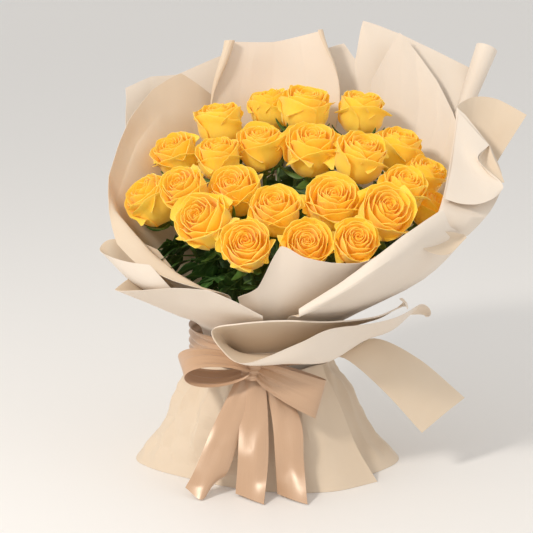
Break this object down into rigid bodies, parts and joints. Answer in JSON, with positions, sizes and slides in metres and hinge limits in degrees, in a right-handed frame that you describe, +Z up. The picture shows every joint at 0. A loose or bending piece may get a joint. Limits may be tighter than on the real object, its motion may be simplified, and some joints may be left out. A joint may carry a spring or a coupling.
{
  "type": "bouquet of roses",
  "caption": "Hand-tied bouquet of yellow roses in cream wrapping paper, tied with a champagne satin bow, standing on its flared paper skirt.",
  "frame": {"origin": "cut end of the middle stem, on the table, under the waist of the bouquet", "axes": "+Z up, -Y is the front with the bow, +X is the right-hand side seen from the front"},
  "size_m": [0.4211, 0.3125, 0.4341],
  "materials": {
    "petals": "soft, slightly velvety yellow petals with deeper orange edges",
    "greens": "fresh green stems and waxy leaves",
    "wrap": "matt cream florist paper, smooth, with soft creases",
    "satin": "glossy champagne satin",
    "twine": "dull jute twine"
  },
  "bodies": {
    "root": {"rose_01_bloom": "petals", "rose_01_stem": "greens", "rose_02_bloom": "petals", "rose_02_stem": "greens", "rose_03_bloom": "petals", "rose_03_stem": "greens", "rose_04_bloom": "petals", "rose_04_stem": "greens", "rose_05_bloom": "petals", "rose_05_stem": "greens", "rose_06_bloom": "petals", "rose_06_stem": "greens", "rose_07_bloom": "petals", "rose_07_stem": "greens", "rose_08_bloom": "petals", "rose_08_stem": "greens", "rose_09_bloom": "petals", "rose_09_stem": "greens", "rose_10_bloom": "petals", "rose_10_stem": "greens", "rose_11_bloom": "petals", "rose_11_stem": "greens", "rose_12_bloom": "petals", "rose_12_stem": "greens", "rose_13_bloom": "petals", "rose_13_stem": "greens", "rose_14_bloom": "petals", "rose_14_stem": "greens", "rose_15_bloom": "petals", "rose_15_stem": "greens", "rose_16_bloom": "petals", "rose_16_stem": "greens", "rose_17_bloom": "petals", "rose_17_stem": "greens", "rose_18_bloom": "petals", "rose_18_stem": "greens", "rose_19_bloom": "petals", "rose_19_stem": "greens", "rose_20_bloom": "petals", "rose_20_stem": "greens", "rose_21_bloom": "petals", "rose_21_stem": "greens", "rose_22_bloom": "petals", "rose_22_stem": "greens", "rose_23_bloom": "petals", "rose_23_stem": "greens", "back_centre_paper": "wrap", "back_left_paper": "wrap", "back_right_paper": "wrap", "cuff_paper": "wrap", "front_paper": "wrap", "front_roll_paper": "wrap", "inner_right_paper": "wrap", "left_flap_paper": "wrap", "left_inner_paper": "wrap", "ribbon": "satin", "right_paper": "wrap", "skirt_paper": "wrap", "stem_tie": "twine", "tail_paper": "wrap"}
  },
  "joints": []
}
